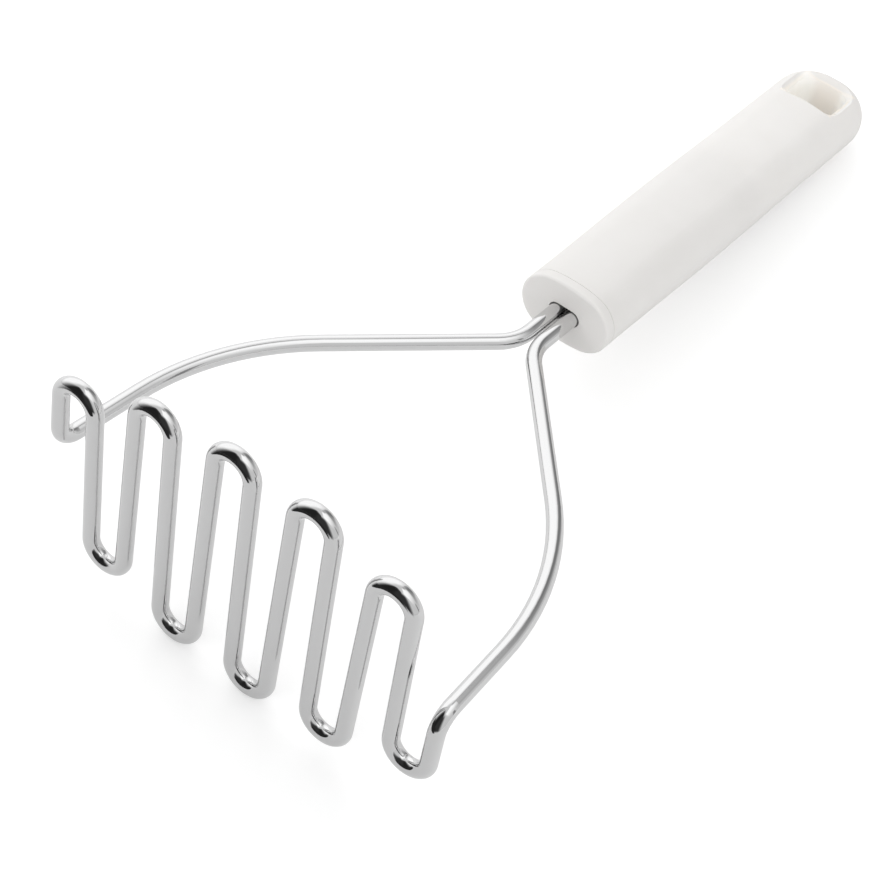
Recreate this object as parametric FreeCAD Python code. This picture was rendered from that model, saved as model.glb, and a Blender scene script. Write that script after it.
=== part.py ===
import FreeCAD, Part
import math
import os

# Wire potato masher: one bent steel wire held in a moulded handle, in millimetres.
# It is drawn along its own axis, then laid down on its head and its tail.
# On the axis x runs from the pressing face to the tail, y across the face and z through its depth.

# Wire
wire_diameter = 4.16
shank_gap = 0.4               # between the two shanks, side by side in the handle

# Head: runs back and forth through the depth, joined by U-bends, in one flat face
bend_pairs = 5                # one bend up and one bend down in each
run_pitch = 11.15
bend_radius = 5.2             # to the wire's centre line
head_reach = 34.1             # axis to the centre line of the deepest bends
reach_shares = (1.0, 1.0, 0.903, 0.84, 0.61)   # of that reach, from the middle pair outwards
corner_radius = 5.0           # where the face turns into the shoulders

# Shoulders: from the ends of the face to the neck, in one plane
upright_length = 19.2
upright_lean_degrees = 3.3    # from the axis
shoulder_radius = 71.7
shoulder_slope_degrees = 42.3
neck_radius = 13.2
neck_to_collar = 11.6         # straight shanks that show before the collar

# Shank ends, coined flat so that they cannot pull out
shank_in_handle = 62.0
flat_length = 16.0
flat_to_end = 8.0
flat_thickness = 2.6

# Handle
handle_length = 136.5         # collar face to tail
width_front = 26.9
width_rear = 27.6
palm_swell = 0.8              # extra width halfway between them
handle_depth = 18.1
side_round_share = 0.95       # radius of the sides, of half the depth
tail_flat = 2.8               # straight stretch across the tail, between its two rounded corners
body_stations = 5

# Hanging eye, through the depth of the tail
eye_width_share = 0.538       # of the handle's width there
eye_length = 12.9
eye_to_tail = 7.5
eye_near_corner = 2.2
eye_far_corner = 4.4
eye_chamfer = 1.9

# Collar at the front of the handle
collar_thickness = 3.1
collar_edge_radius = 0.8
parting_groove = 0.15         # width and depth of the line between collar and handle
slot_clearance = 0.3

# Core that grips the shank ends inside the handle
handle_wall = 3.0
core_past_shanks = 13.0
core_clearance = 0.15
channel_clearance = 0.1
pocket_end_gap = 0.5
glue_groove_count = 4
glue_groove_width = 4.0
glue_groove_depth = 1.0

overrun = 1.0                 # how far every cut runs past the faces that it opens
same_place = 0.001            # two places nearer than this are one

# Places along the axis that follow from the sizes
wire_radius = wire_diameter / 2
shank_offset = wire_radius + shank_gap / 2
half_depth = handle_depth / 2
diagonal_share = math.sqrt(0.5)
lean = math.radians(upright_lean_degrees)
slope = math.radians(shoulder_slope_degrees)
bend_count = 2 * bend_pairs
half_width = (bend_count - 1) / 2 * run_pitch + bend_radius
upright_x = corner_radius * math.cos(lean)
upright_out = half_width - corner_radius * math.sin(lean)
bow_x = upright_x + upright_length * math.cos(lean) - shoulder_radius * math.sin(lean)
bow_out = upright_out - upright_length * math.sin(lean) - shoulder_radius * math.cos(lean)
neck_drop = neck_radius * (1 - math.cos(slope))
slope_drop = bow_out + shoulder_radius * math.cos(slope) - shank_offset - neck_drop
slope_run = slope_drop / math.tan(slope)
neck_x = bow_x + (shoulder_radius + neck_radius) * math.sin(slope) + slope_run
collar_x = neck_x + neck_to_collar
handle_x = collar_x + collar_thickness
shank_end_x = collar_x + shank_in_handle
core_length = shank_end_x + core_past_shanks - handle_x
tail_x = collar_x + handle_length
eye_width = width_rear * eye_width_share
eye_far_x = tail_x - eye_to_tail
eye_near_x = eye_far_x - eye_length
tail_turn_x = tail_x - (width_rear - tail_flat) / 2
straight_x = eye_near_x - eye_length


def at(x, y, z):
    return FreeCAD.Vector(x, y, z)


def line(start, end):
    return Part.LineSegment(start, end).toShape()


def arc(start, middle, end):
    return Part.Arc(start, middle, end).toShape()


def quarter(centre, first, second):
    # Quarter circle from centre + first to centre + second
    return arc(centre + first, centre + (first + second) * diagonal_share, centre + second)


def prism(wire, length_vector):
    return Part.Face(wire).extrude(length_vector)


# Head

def bend_centre(index):
    from_middle = index - (bend_count - 1) / 2
    reach = head_reach * reach_shares[int(abs(from_middle) * len(reach_shares) / bend_pairs)]
    up = 1 if index % 2 == 0 else -1
    return at(0, -from_middle * run_pitch, up * (reach - bend_radius))


def touch_normal(index):
    # From a bend's centre towards the point where it meets the run to the next bend
    if index < 0 or index == bend_count - 1:
        return at(0, -1, 0)
    step = bend_centre(index + 1) - bend_centre(index)
    along = 2 * bend_radius / step.Length
    beside = math.sqrt(1 - along ** 2)
    unit = step / step.Length
    square = at(0, unit.z, -unit.y) * math.copysign(1, -unit.z)
    return unit * along + square * beside


def bend_edge(index):
    centre = bend_centre(index)
    apex = centre + at(0, 0, math.copysign(bend_radius, centre.z))
    enter = centre - touch_normal(index - 1) * bend_radius
    leave = centre + touch_normal(index) * bend_radius
    return arc(enter, apex, leave)


def head_edges():
    edges = [bend_edge(0)]
    for index in range(1, bend_count):
        bend = bend_edge(index)
        edges.append(line(edges[-1].lastVertex().Point, bend.firstVertex().Point))
        edges.append(bend)
    return edges


# Shoulders

def bow_point(angle):
    return at(bow_x + shoulder_radius * math.sin(angle), -bow_out - shoulder_radius * math.cos(angle), 0)


def neck_point(angle):
    out = shank_offset + neck_radius * (1 - math.cos(angle))
    return at(neck_x - neck_radius * math.sin(angle), -out, 0)


def shoulder_edges(last_leg):
    # From the end of the last bend round the corner, over the shoulder and into the handle
    upright = at(math.cos(lean), math.sin(lean), 0)
    rise = at(0, 0, corner_radius)
    corner_start = at(0, last_leg.y, -corner_radius)
    corner = quarter(corner_start + upright * corner_radius, upright * -corner_radius, rise)
    return [
        line(last_leg, corner_start),
        corner,
        line(corner_start + upright * corner_radius + rise, bow_point(lean)),
        arc(bow_point(lean), bow_point((lean + slope) / 2), bow_point(slope)),
        line(bow_point(slope), neck_point(slope)),
        arc(neck_point(slope), neck_point(slope / 2), neck_point(0)),
        line(neck_point(0), at(shank_end_x, -shank_offset, 0)),
    ]


def shank_flats(clearance):
    # What the coining takes off above and below each shank
    start = at(shank_end_x - flat_to_end - flat_length + clearance, 0, 0)
    length = flat_length - 2 * clearance
    reach = wire_diameter + shank_offset
    height = wire_diameter
    low = flat_thickness / 2 + clearance
    slab = Part.makeBox(length, 2 * reach, height, start + at(0, -reach, low))
    return slab.fuse(slab.copy().rotate(at(0, 0, 0), at(1, 0, 0), 180))


def make_wire():
    head = head_edges()
    right = shoulder_edges(head[-1].lastVertex().Point)
    left = [edge.copy().rotate(at(0, 0, 0), at(1, 0, 0), 180) for edge in reversed(right)]
    path = Part.Wire(left + head + right)
    start = at(shank_end_x, shank_offset, 0)
    section = Part.Wire([Part.Circle(start, at(1, 0, 0), wire_radius).toShape()])
    tube = path.makePipeShell([section], True, False)
    expected = path.Length * math.pi * wire_radius ** 2
    print("wire length", round(path.Length, 2), "volume", round(tube.Volume, 1), "section times length",
          round(expected, 1))
    return tube.cut(shank_flats(0))


# Handle, collar and core share one oval section: two crowns and two sides, four tangent arcs

def crown_radius(half_w, half_d):
    side = side_round_share * half_d
    return ((half_w - side) ** 2 + half_d ** 2 - side ** 2) / (2 * (half_d - side))


def crown_end(half_w, half_d):
    # Where a crown meets a side, on the line through both centres
    side = side_round_share * half_d
    across = half_w - side
    down = crown_radius(half_w, half_d) - half_d
    side_share = side / math.hypot(across, down)
    return across + across * side_share, down * side_share


def oval(x, half_w, half_d):
    join_y, join_z = crown_end(half_w, half_d)
    corners = [at(x, join_y * y, join_z * z) for y, z in ((1, -1), (1, 1), (-1, 1), (-1, -1))]
    middles = [at(x, half_w, 0), at(x, 0, half_d), at(x, -half_w, 0), at(x, 0, -half_d)]
    arcs = []
    for index, middle in enumerate(middles):
        arcs.append(arc(corners[index], middle, corners[(index + 1) % len(corners)]))
    return Part.Wire(arcs)


def body_width(share):
    # Widens evenly from the collar to the tail, with a gentle swell on the way
    swell_share = (1 - math.cos(2 * math.pi * share)) / 2
    return width_front + (width_rear - width_front) * share + palm_swell * swell_share


def make_body():
    sections = []
    for station in range(body_stations):
        share = station / (body_stations - 1)
        x = handle_x + (straight_x - handle_x) * share
        sections.append(oval(x, body_width(share) / 2, half_depth))
    return Part.makeLoft(sections, True, False)


def tail_profile():
    # The part of the section that turns round the corners of the tail
    half_w = width_rear / 2
    crown = crown_radius(half_w, half_depth)
    join_y, join_z = crown_end(half_w, half_depth)
    inner = tail_flat / 2

    def on_crown(y):
        return half_depth - crown + math.sqrt(crown ** 2 - y ** 2)

    middle = (inner + join_y) / 2
    x = tail_turn_x
    top = arc(at(x, inner, on_crown(inner)), at(x, middle, on_crown(middle)), at(x, join_y, join_z))
    side = arc(at(x, join_y, join_z), at(x, half_w, 0), at(x, join_y, -join_z))
    under = arc(at(x, join_y, -join_z), at(x, middle, -on_crown(middle)), at(x, inner, -on_crown(inner)))
    closing = line(at(x, inner, -on_crown(inner)), at(x, inner, on_crown(inner)))
    return Part.Face(Part.Wire([top, side, under, closing]))


def make_tail():
    straight = prism(oval(straight_x, width_rear / 2, half_depth), at(tail_turn_x - straight_x, 0, 0))
    corner = tail_profile().revolve(at(tail_turn_x, tail_flat / 2, 0), at(0, 0, 1), -90)
    turned = tail_profile().rotate(at(tail_turn_x, tail_flat / 2, 0), at(0, 0, 1), -90)
    middle = turned.extrude(at(0, -tail_flat, 0))
    other = corner.copy().rotate(at(0, 0, 0), at(1, 0, 0), 180)
    return straight.fuse([corner, middle, other])


def eye_outline():
    z = -handle_depth
    side = eye_width / 2
    near = eye_near_corner
    far = eye_far_corner
    back = at(-1, 0, 0)
    left = at(0, 1, 0)
    near_left = at(eye_near_x + near, side - near, z)
    far_left = at(eye_far_x - far, side - far, z)
    near_right = at(eye_near_x + near, near - side, z)
    far_right = at(eye_far_x - far, far - side, z)
    return Part.Wire([
        quarter(near_left, back * near, left * near),
        line(near_left + left * near, far_left + left * far),
        quarter(far_left, left * far, back * -far),
        line(far_left - back * far, far_right - back * far),
        quarter(far_right, back * -far, left * -far),
        line(far_right - left * far, near_right - left * near),
        quarter(near_right, left * -near, back * near),
        line(near_right + back * near, near_left + back * near),
    ])


def on_eye_rim(edge):
    # Rim edges run round the eye; its upright edges keep one place in x and y
    first = edge.firstVertex().Point
    last = edge.lastVertex().Point
    upright = abs(first.x - last.x) + abs(first.y - last.y) < same_place
    inside = all(
        eye_near_x - overrun < point.x < eye_far_x + overrun and abs(point.y) < eye_width / 2 + overrun
        for point in (first, last)
    )
    return inside and not upright


def make_handle_shell():
    tail = make_tail().cut(prism(eye_outline(), at(0, 0, 2 * handle_depth)))
    tail = tail.makeChamfer(eye_chamfer, [edge for edge in tail.Edges if on_eye_rim(edge)])
    body = make_body().fuse(tail)
    pocket = oval(handle_x - overrun, width_front / 2 - handle_wall, half_depth - handle_wall)
    return body.cut(prism(pocket, at(overrun + core_length + pocket_end_gap, 0, 0)))


def shank_slot(x, length, clearance):
    # Room for both shanks side by side
    radius = wire_radius + clearance
    up = at(0, 0, radius)
    left = at(x, shank_offset, 0)
    right = at(x, -shank_offset, 0)
    outline = Part.Wire([
        line(right + up, left + up),
        arc(left + up, left + at(0, radius, 0), left - up),
        line(left - up, right - up),
        arc(right - up, right - at(0, radius, 0), right + up),
    ])
    return prism(outline, at(length, 0, 0))


def make_end_collar():
    half_w = width_front / 2
    collar = prism(oval(collar_x, half_w, half_depth), at(collar_thickness - parting_groove, 0, 0))
    front = [edge for edge in collar.Edges if edge.BoundBox.XMax < collar_x + same_place]
    collar = collar.makeFillet(collar_edge_radius, front)
    neck = oval(handle_x - parting_groove, half_w - parting_groove, half_depth - parting_groove)
    collar = collar.fuse(prism(neck, at(parting_groove, 0, 0)))
    return collar.cut(shank_slot(collar_x - overrun, collar_thickness + 2 * overrun, slot_clearance))


def make_wire_core():
    half_w = width_front / 2 - handle_wall - core_clearance
    half_d = half_depth - handle_wall - core_clearance
    core = prism(oval(handle_x, half_w, half_d), at(core_length, 0, 0))
    groove_step = core_length / (glue_groove_count + 1)
    for index in range(1, glue_groove_count + 1):
        x = handle_x + groove_step * index - glue_groove_width / 2
        ring = prism(oval(x, half_w + overrun, half_d + overrun), at(glue_groove_width, 0, 0))
        inner = oval(x, half_w - glue_groove_depth, half_d - glue_groove_depth)
        floor = prism(inner, at(glue_groove_width, 0, 0))
        core = core.cut(ring.cut(floor))
    radius = wire_radius + channel_clearance
    depth = shank_end_x - handle_x + channel_clearance + overrun
    for y in (-shank_offset, shank_offset):
        channel = Part.makeCylinder(radius, depth, at(handle_x - overrun, y, 0), at(1, 0, 0))
        core = core.cut(channel.cut(shank_flats(channel_clearance)))
    return core


# Laid down: the deepest bends and the tail share the surface below them

def laying():
    crown = crown_radius(width_rear / 2, half_depth)
    side = side_round_share * half_depth
    bend = at(0, 0, -head_reach)
    tail = at(tail_turn_x - tail_flat / 2, 0, crown - half_depth)
    between = tail - bend
    tilt = math.atan2(between.z, between.x) - math.asin((crown - wire_radius) / between.Length)
    front = -head_reach * math.sin(tilt) - wire_radius
    back = (tail_x - side) * math.cos(tilt) + side
    lift = head_reach * math.cos(tilt) + wire_radius
    turn = FreeCAD.Rotation(at(0, 1, 0), math.degrees(tilt))
    print("tilt", round(math.degrees(tilt), 4), "length", round(back - front, 3), "lift", round(lift, 3))
    return FreeCAD.Placement(at(-(front + back) / 2, 0, lift), turn)


def export(name, shape, place):
    shape = shape.copy()
    shape.Placement = place.multiply(shape.Placement)
    print(name, "valid", shape.isValid(), "solids", len(shape.Solids), "volume", round(shape.Volume, 1))
    shape.exportStep("parts/" + name + ".step")


os.makedirs("parts", exist_ok=True)
place = laying()
export("masher_wire", make_wire(), place)
export("wire_core", make_wire_core(), place)
export("handle_shell", make_handle_shell(), place)
export("end_collar", make_end_collar(), place)
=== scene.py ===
import bpy
import math
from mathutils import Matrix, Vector

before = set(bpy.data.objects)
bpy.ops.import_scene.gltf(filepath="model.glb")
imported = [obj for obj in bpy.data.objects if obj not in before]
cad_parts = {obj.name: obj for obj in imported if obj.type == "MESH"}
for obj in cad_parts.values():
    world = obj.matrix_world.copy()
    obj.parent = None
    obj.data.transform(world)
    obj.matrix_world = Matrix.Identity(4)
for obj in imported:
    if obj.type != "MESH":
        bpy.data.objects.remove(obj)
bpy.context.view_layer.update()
print("frame loaded, nodes:", sorted(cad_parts))


def deselectAll():
    bpy.ops.object.select_all(action="DESELECT")


def aim(azimuth, elevation):  # degrees, from the object outwards
    a, e = math.radians(azimuth), math.radians(elevation)
    return Vector((math.cos(e) * math.cos(a), math.cos(e) * math.sin(a), math.sin(e)))


def newMaterial(name):
    mat = bpy.data.materials.new(name)
    mat.use_nodes = True
    return mat, mat.node_tree.nodes, mat.node_tree.links


def addNode(nodes, kind, place, **settings):
    node = nodes.new(kind)
    node.location = place
    for key, value in settings.items():
        setattr(node, key, value)
    return node


cameraSettings = {
    "place": (-0.33592, -0.18342, 0.43035),
    "turn": (38.947, -4.656, -51.238),
    "lens": 90.23,
}


def addCamera():
    deselectAll()
    turn = [math.radians(angle) for angle in cameraSettings["turn"]]
    bpy.ops.object.camera_add(location=cameraSettings["place"], rotation=turn)
    camera = bpy.context.object
    camera.name = "camera"
    camera.data.lens = cameraSettings["lens"]
    bpy.context.scene.camera = camera


addCamera()
print("camera set")


def seenLevel(nodes, links, plain, forCamera, forMirror):  # brightness by the kind of ray
    path = addNode(nodes, "ShaderNodeLightPath", (-900, 300))
    camera = addNode(nodes, "ShaderNodeMath", (-680, 380), operation="MULTIPLY_ADD")
    links.new(path.outputs["Is Camera Ray"], camera.inputs[0])
    camera.inputs[1].default_value = forCamera - plain
    camera.inputs[2].default_value = plain
    mirror = addNode(nodes, "ShaderNodeMath", (-680, 180), operation="MAXIMUM")
    links.new(path.outputs["Is Glossy Ray"], mirror.inputs[0])
    links.new(path.outputs["Is Transmission Ray"], mirror.inputs[1])
    level = addNode(nodes, "ShaderNodeMath", (-460, 300), operation="MULTIPLY_ADD")
    links.new(mirror.outputs[0], level.inputs[0])
    level.inputs[1].default_value = forMirror - plain
    links.new(camera.outputs[0], level.inputs[2])
    return level.outputs[0]


floorSettings = {
    "size": 8.0,
    "colour": (0.75, 0.75, 0.75, 1),
    "roughness": 0.5,
    "forCamera": 0.30,
    "forMirror": 0.03,
    "brighterFrom": -0.2,  # X at which the floor starts to glow more, towards the handle: painted light there, painted shade near the head
    "brighterTo": 0.0,
    "brighter": 0.1,
    "cameraShare": 0.7,  # the camera sees this much of the extra glow, and mirrors all of it
}


def addFloorGlow(nodes, links):
    coords = addNode(nodes, "ShaderNodeTexCoord", (-900, -300))
    split = addNode(nodes, "ShaderNodeSeparateXYZ", (-720, -300))
    links.new(coords.outputs["Object"], split.inputs[0])
    # painted light and shade on the floor: the glow rises along X, more towards the handle, less
    # near the head
    along = addNode(nodes, "ShaderNodeMapRange", (-540, -300), interpolation_type="SMOOTHSTEP")
    along.inputs["From Min"].default_value = floorSettings["brighterFrom"]
    along.inputs["From Max"].default_value = floorSettings["brighterTo"]
    along.inputs["To Max"].default_value = floorSettings["brighter"]
    links.new(split.outputs["X"], along.inputs["Value"])
    path = addNode(nodes, "ShaderNodeLightPath", (-720, -600))
    share = addNode(nodes, "ShaderNodeMath", (-540, -600), operation="MULTIPLY_ADD")
    links.new(path.outputs["Is Camera Ray"], share.inputs[0])
    share.inputs[1].default_value = floorSettings["cameraShare"]
    links.new(path.outputs["Is Glossy Ray"], share.inputs[2])
    extra = addNode(nodes, "ShaderNodeMath", (-340, -300), operation="MULTIPLY")
    links.new(along.outputs["Result"], extra.inputs[0])
    links.new(share.outputs[0], extra.inputs[1])
    total = addNode(nodes, "ShaderNodeMath", (-340, 160), operation="ADD")
    even = seenLevel(nodes, links, 0, floorSettings["forCamera"], floorSettings["forMirror"])
    links.new(even, total.inputs[0])
    links.new(extra.outputs[0], total.inputs[1])
    glow = addNode(nodes, "ShaderNodeEmission", (-140, 160))
    links.new(total.outputs[0], glow.inputs["Strength"])
    return glow


def addFloor():
    deselectAll()
    bpy.ops.mesh.primitive_plane_add(size=floorSettings["size"])
    floor = bpy.context.object
    floor.name = "floor"
    mat, nodes, links = newMaterial("paleFloor")
    nodes.clear()
    sheet = addNode(nodes, "ShaderNodeBsdfPrincipled", (-220, 0))
    sheet.inputs["Base Color"].default_value = floorSettings["colour"]
    sheet.inputs["Roughness"].default_value = floorSettings["roughness"]
    glow = addFloorGlow(nodes, links)
    both = addNode(nodes, "ShaderNodeAddShader", (60, 0))
    links.new(sheet.outputs[0], both.inputs[0])
    links.new(glow.outputs[0], both.inputs[1])
    out = addNode(nodes, "ShaderNodeOutputMaterial", (260, 0))
    links.new(both.outputs[0], out.inputs["Surface"])
    floor.data.materials.append(mat)


worldSettings = {"colour": (1, 1, 1, 1), "fill": 0.77, "forCamera": 1.0, "forMirror": 0.735}


def addWorld():
    world = bpy.data.worlds.new("studioRoom")
    bpy.context.scene.world = world
    world.use_nodes = True
    nodes, links = world.node_tree.nodes, world.node_tree.links
    nodes.clear()
    room = addNode(nodes, "ShaderNodeBackground", (-200, 0))
    room.inputs["Color"].default_value = worldSettings["colour"]
    level = seenLevel(nodes, links, worldSettings["fill"],
                      worldSettings["forCamera"], worldSettings["forMirror"])
    links.new(level, room.inputs["Strength"])
    out = addNode(nodes, "ShaderNodeOutputWorld", (60, 0))
    links.new(room.outputs[0], out.inputs["Surface"])


lamps = {  # azimuth and elevation in degrees, metres, watts
    "lampBack": {"towards": (65, 32), "away": 1.2, "size": (1.45, 1.0), "power": 5.15},
    "lampFront": {"towards": (170, 30), "away": 1.2, "size": (1.2, 0.6), "power": 3.15},
    "lampSide": {"towards": (-90, 10), "away": 1.3, "size": (1.3, 0.4), "power": 3.2},
}


def addLamp(name, settings):
    deselectAll()
    way = aim(*settings["towards"])
    turn = way.to_track_quat("Z", "Y").to_euler()
    bpy.ops.object.light_add(type="AREA", location=way * settings["away"], rotation=turn)
    lamp = bpy.context.object
    lamp.name = name
    lamp.data.shape = "RECTANGLE"
    lamp.data.size, lamp.data.size_y = settings["size"]
    lamp.data.energy = settings["power"]
    lamp.visible_glossy = False  # the panels are mirrored in its place


# What polished steel mirrors. Outward is the azimuth and elevation, in degrees, of a sheet's
# outer side. Soft is the share of its width or height over which each edge fades out, in the
# order low X, high X, low Y, high Y of the sheet.
panels = {
    "panelOverhead": {"place": (0.237, -0.641, 1.111), "outward": (-68, 54), "size": (1.76, 1.65),
                      "level": 1.34, "soft": (0.15, 0.433, 0.70, 0.10)},
    "panelBack": {"place": (0.576, 1.428, 2.125), "outward": (55, 0), "size": (5.68, 4.95),
                  "level": 1.34, "soft": (0.345, 0.383, 0.184, 0.626)},
    "panelGap": {"place": (2.201, -0.067, 1.300), "outward": (-4, 0), "size": (1.60, 2.80),
                 "level": 0.22, "soft": (0.40, 0.65, 0.02, 0.357)},
    "panelSlit": {"place": (0.55, -0.04, 1.0), "outward": (0, 90), "size": (0.90, 0.32),
                  "level": 0.45, "soft": (0.3, 0.3, 0.48, 0.48)},
    "panelDim": {"place": (1.655, -1.293, 1.715), "outward": (-38, 0), "size": (2.83, 3.29),
                 "level": 0.31, "soft": (0.75, 0.1, 0.34, 0.55)},
    "panelStand": {"place": (0.435, -1.747, 0.625), "outward": (-76, 0), "size": (0.45, 1.25),
                   "level": 0.26, "soft": (0.4, 0.4, 0.2, 0.4)},
    "panelBlackSide": {"place": (-0.612, 0.185, 1.200), "outward": (143, 0), "size": (0.99, 2.40),
                       "level": 0.02, "soft": (0.3, 0.19, 0.01, 0.58)},
    "panelBlackFront": {"place": (-0.357, -0.122, 0.310), "outward": (190, 0), "size": (0.40, 0.62),
                        "level": 0.04, "soft": (0.175, 0.45, 0.08, 0.47)},
    "panelBlackLow": {"place": (-0.240, 0.0315, 0.035), "outward": (150, 0), "size": (0.26, 0.07),
                      "level": 0.025, "soft": (0.23, 0.23, 0.02, 0.25)},
}


def addSoftEdges(nodes, links, soft):
    coords = addNode(nodes, "ShaderNodeTexCoord", (-900, 0))
    split = addNode(nodes, "ShaderNodeSeparateXYZ", (-720, 0))
    links.new(coords.outputs["UV"], split.inputs[0])
    lowX, highX, lowY, highY = soft
    edges = (("X", 0, lowX), ("X", 1, 1 - highX), ("Y", 0, lowY), ("Y", 1, 1 - highY))
    inside = None
    for index, (axis, outer, inner) in enumerate(edges):
        height = 300 - 260 * index
        edge = addNode(nodes, "ShaderNodeMapRange", (-520, height), interpolation_type="SMOOTHSTEP")
        edge.inputs["From Min"].default_value = outer
        edge.inputs["From Max"].default_value = inner
        links.new(split.outputs[axis], edge.inputs["Value"])
        if inside is None:
            inside = edge.outputs["Result"]
            continue
        times = addNode(nodes, "ShaderNodeMath", (-300, height), operation="MULTIPLY")
        links.new(inside, times.inputs[0])
        links.new(edge.outputs["Result"], times.inputs[1])
        inside = times.outputs[0]
    return inside


def addPanel(name, settings):
    deselectAll()
    turn = aim(*settings["outward"]).to_track_quat("Z", "Y").to_euler()
    bpy.ops.mesh.primitive_plane_add(size=1, location=settings["place"], rotation=turn)
    sheet = bpy.context.object
    sheet.name = name
    sheet.scale = (*settings["size"], 1)
    mat, nodes, links = newMaterial(name)
    nodes.clear()
    clear = addNode(nodes, "ShaderNodeBsdfTransparent", (-100, 100))
    glow = addNode(nodes, "ShaderNodeEmission", (-100, -60))
    glow.inputs["Strength"].default_value = settings["level"]
    fade = addNode(nodes, "ShaderNodeMixShader", (100, 0))
    links.new(addSoftEdges(nodes, links, settings["soft"]), fade.inputs[0])
    links.new(clear.outputs[0], fade.inputs[1])
    links.new(glow.outputs[0], fade.inputs[2])
    out = addNode(nodes, "ShaderNodeOutputMaterial", (300, 0))
    links.new(fade.outputs[0], out.inputs["Surface"])
    sheet.data.materials.append(mat)
    sheet.visible_camera = False
    sheet.visible_diffuse = False
    sheet.visible_shadow = False


addFloor()
addWorld()
for name, settings in lamps.items():
    addLamp(name, settings)
for name, settings in panels.items():
    addPanel(name, settings)
print("studio set")

noiseRange = (0.3, 0.7)  # most of a noise texture's values lie between these


def addNoise(nodes, links, coords, place, scale, detail):
    noise = addNode(nodes, "ShaderNodeTexNoise", place)
    noise.inputs["Scale"].default_value = scale
    noise.inputs["Detail"].default_value = detail
    links.new(coords.outputs["Object"], noise.inputs["Vector"])
    return noise.outputs["Fac"]


def addRange(nodes, links, value, place, low, high):
    spread = addNode(nodes, "ShaderNodeMapRange", place)
    spread.inputs["From Min"].default_value = noiseRange[0]
    spread.inputs["From Max"].default_value = noiseRange[1]
    spread.inputs["To Min"].default_value = low
    spread.inputs["To Max"].default_value = high
    links.new(value, spread.inputs["Value"])
    return spread.outputs["Result"]


def addRamp(nodes, links, value, place, first, second):
    ramp = addNode(nodes, "ShaderNodeValToRGB", place)
    for element, position, colour in zip(ramp.color_ramp.elements, noiseRange, (first, second)):
        element.position = position
        element.color = colour
    links.new(value, ramp.inputs["Fac"])
    return ramp.outputs["Color"]


def addBump(nodes, links, value, place, strength, height):
    bump = addNode(nodes, "ShaderNodeBump", place)
    bump.inputs["Strength"].default_value = strength
    bump.inputs["Distance"].default_value = height
    links.new(value, bump.inputs["Height"])
    return bump.outputs["Normal"]


steelSettings = {
    "colour": (0.70, 0.70, 0.702, 1),
    "roughness": (0.03, 0.08),
    "smudgeScale": 160,
    "smudgeDetail": 4,
    "drawScale": 2600,  # marks of the drawing die
    "drawDetail": 2,
    "drawDepth": 0.03,
    "drawHeight": 0.0001,
}


def makeSteel():
    mat, nodes, links = newMaterial("polishedSteel")
    shader = nodes["Principled BSDF"]
    shader.inputs["Base Color"].default_value = steelSettings["colour"]
    shader.inputs["Metallic"].default_value = 1
    coords = addNode(nodes, "ShaderNodeTexCoord", (-900, 0))
    smudge = addNoise(nodes, links, coords, (-700, 120),
                      steelSettings["smudgeScale"], steelSettings["smudgeDetail"])
    dull = addRange(nodes, links, smudge, (-480, 120), *steelSettings["roughness"])
    links.new(dull, shader.inputs["Roughness"])
    drawn = addNoise(nodes, links, coords, (-700, -200),
                     steelSettings["drawScale"], steelSettings["drawDetail"])
    marks = addBump(nodes, links, drawn, (-480, -200),
                    steelSettings["drawDepth"], steelSettings["drawHeight"])
    links.new(marks, shader.inputs["Normal"])
    return mat


eyeSettings = {  # walls of the hanging eye, where light comes through the plastic; their warm colour is painted light
    "centre": (0.11656, 0, 0.00932),
    "tilt": 6.290,
    "half": (0.00645, 0.00742),
    "fade": (0.0002, 0.0014),  # past the walls, where the painted light ends
    # painted light: a warm, bright colour for the light that comes through and bounces inside the
    # eye
    "colour": (0.985, 0.89, 0.77, 1),
    "through": (0.08, 1.0),  # elsewhere on the plastic, in the walls
    "throughRadius": (1.0, 0.95, 0.85),
    "throughScale": 0.05,
}


def addEyeMask(nodes, links, coords):
    inEye = addNode(nodes, "ShaderNodeMapping", (-1500, -500), vector_type="TEXTURE")
    inEye.inputs["Location"].default_value = eyeSettings["centre"]
    inEye.inputs["Rotation"].default_value = (0, math.radians(eyeSettings["tilt"]), 0)
    links.new(coords.outputs["Object"], inEye.inputs["Vector"])
    split = addNode(nodes, "ShaderNodeSeparateXYZ", (-1300, -500))
    links.new(inEye.outputs["Vector"], split.inputs[0])
    outside = addNode(nodes, "ShaderNodeMath", (-760, -500), operation="MAXIMUM")
    for index, (axis, half) in enumerate(zip("XY", eyeSettings["half"])):
        height = -420 - 160 * index
        away = addNode(nodes, "ShaderNodeMath", (-1120, height), operation="ABSOLUTE")
        links.new(split.outputs[axis], away.inputs[0])
        past = addNode(nodes, "ShaderNodeMath", (-940, height), operation="SUBTRACT")
        links.new(away.outputs[0], past.inputs[0])
        past.inputs[1].default_value = half
        links.new(past.outputs[0], outside.inputs[index])
    mask = addNode(nodes, "ShaderNodeMapRange", (-580, -500), interpolation_type="SMOOTHSTEP")
    fadeStart, fadeEnd = eyeSettings["fade"]
    mask.inputs["From Min"].default_value = fadeStart
    mask.inputs["From Max"].default_value = fadeEnd
    mask.inputs["To Min"].default_value = 1
    mask.inputs["To Max"].default_value = 0
    links.new(outside.outputs[0], mask.inputs["Value"])
    return mask.outputs["Result"]


plasticSettings = {
    "colour": (0.835, 0.818, 0.797, 1),
    "shade": (0.815, 0.797, 0.774, 1),
    "cloudScale": 90,
    "cloudDetail": 5,
    "roughness": (0.38, 0.48),
    "grainScale": 3200,
    "grainDetail": 3,
    "grainDepth": 0.05,
    "grainHeight": 0.0001,
}


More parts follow.
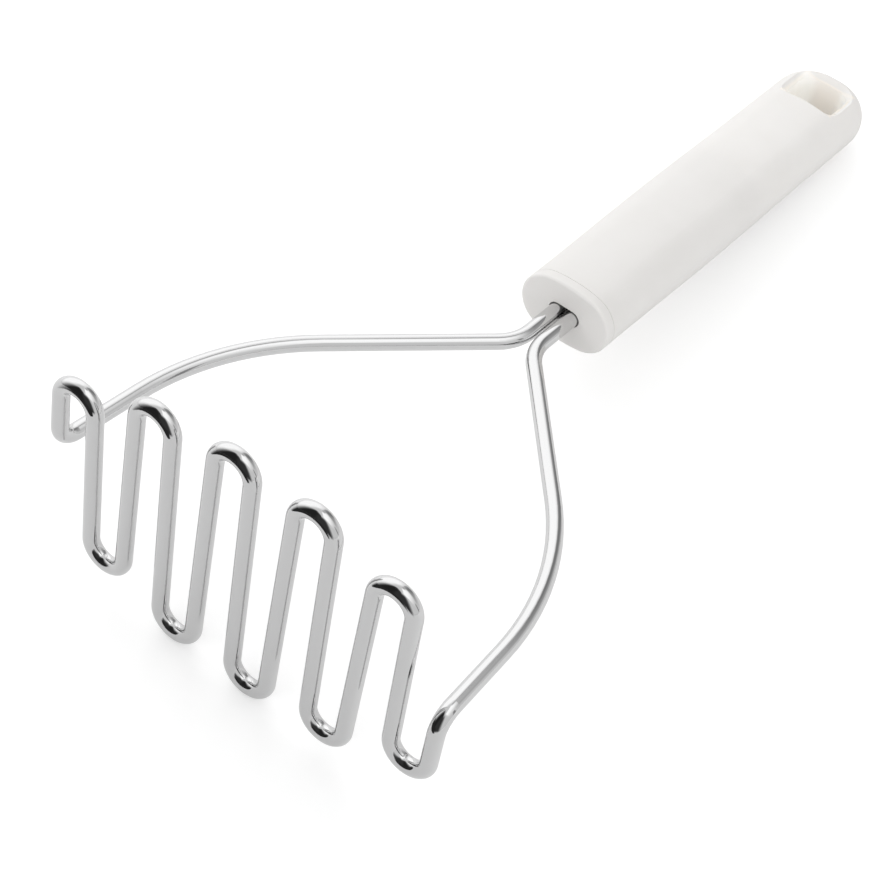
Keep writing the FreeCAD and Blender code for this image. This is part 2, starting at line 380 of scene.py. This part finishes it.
def makePlastic():
    mat, nodes, links = newMaterial("satinWhitePlastic")
    shader = nodes["Principled BSDF"]
    coords = addNode(nodes, "ShaderNodeTexCoord", (-1700, 0))
    cloud = addNoise(nodes, links, coords, (-760, 260),
                     plasticSettings["cloudScale"], plasticSettings["cloudDetail"])
    cloudy = addRamp(nodes, links, cloud, (-540, 320),
                     plasticSettings["shade"], plasticSettings["colour"])
    inEye = addEyeMask(nodes, links, coords)
    # painted light: the eye walls take the warm colour in place of the plastic's own
    paintedEyeLight = addNode(nodes, "ShaderNodeMix", (-260, 260), data_type="RGBA")
    links.new(inEye, paintedEyeLight.inputs["Factor"])
    links.new(cloudy, paintedEyeLight.inputs["A"])
    paintedEyeLight.inputs["B"].default_value = eyeSettings["colour"]
    links.new(paintedEyeLight.outputs["Result"], shader.inputs["Base Color"])
    satin = addRange(nodes, links, cloud, (-540, 60), *plasticSettings["roughness"])
    links.new(satin, shader.inputs["Roughness"])
    grain = addNoise(nodes, links, coords, (-760, -200),
                     plasticSettings["grainScale"], plasticSettings["grainDetail"])
    fine = addBump(nodes, links, grain, (-540, -200),
                   plasticSettings["grainDepth"], plasticSettings["grainHeight"])
    links.new(fine, shader.inputs["Normal"])
    through = addNode(nodes, "ShaderNodeMapRange", (-260, -500))
    elsewhere, inWalls = eyeSettings["through"]
    through.inputs["To Min"].default_value = elsewhere
    through.inputs["To Max"].default_value = inWalls
    links.new(inEye, through.inputs["Value"])
    links.new(through.outputs["Result"], shader.inputs["Subsurface Weight"])
    shader.inputs["Subsurface Radius"].default_value = eyeSettings["throughRadius"]
    shader.inputs["Subsurface Scale"].default_value = eyeSettings["throughScale"]
    return mat


coreSettings = {
    "colour": (0.60, 0.585, 0.56, 1),
    "shade": (0.54, 0.525, 0.50, 1),
    "cloudScale": 220,
    "cloudDetail": 4,
    "roughness": 0.6,
}


def makeCore():
    mat, nodes, links = newMaterial("corePlastic")
    shader = nodes["Principled BSDF"]
    coords = addNode(nodes, "ShaderNodeTexCoord", (-900, 0))
    cloud = addNoise(nodes, links, coords, (-700, 100),
                     coreSettings["cloudScale"], coreSettings["cloudDetail"])
    cloudy = addRamp(nodes, links, cloud, (-480, 100),
                     coreSettings["shade"], coreSettings["colour"])
    links.new(cloudy, shader.inputs["Base Color"])
    shader.inputs["Roughness"].default_value = coreSettings["roughness"]
    return mat


steel = makeSteel()
plastic = makePlastic()
core = makeCore()
nodeMaterials = {
    "masher_wire": steel,
    "handle_shell": plastic,
    "end_collar": plastic,
    "wire_core": core,
}
for node, mat in nodeMaterials.items():
    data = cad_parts[node].data
    data.materials.clear()
    data.materials.append(mat)
print("materials set")

bpy.context.scene.view_settings.view_transform = "Standard"
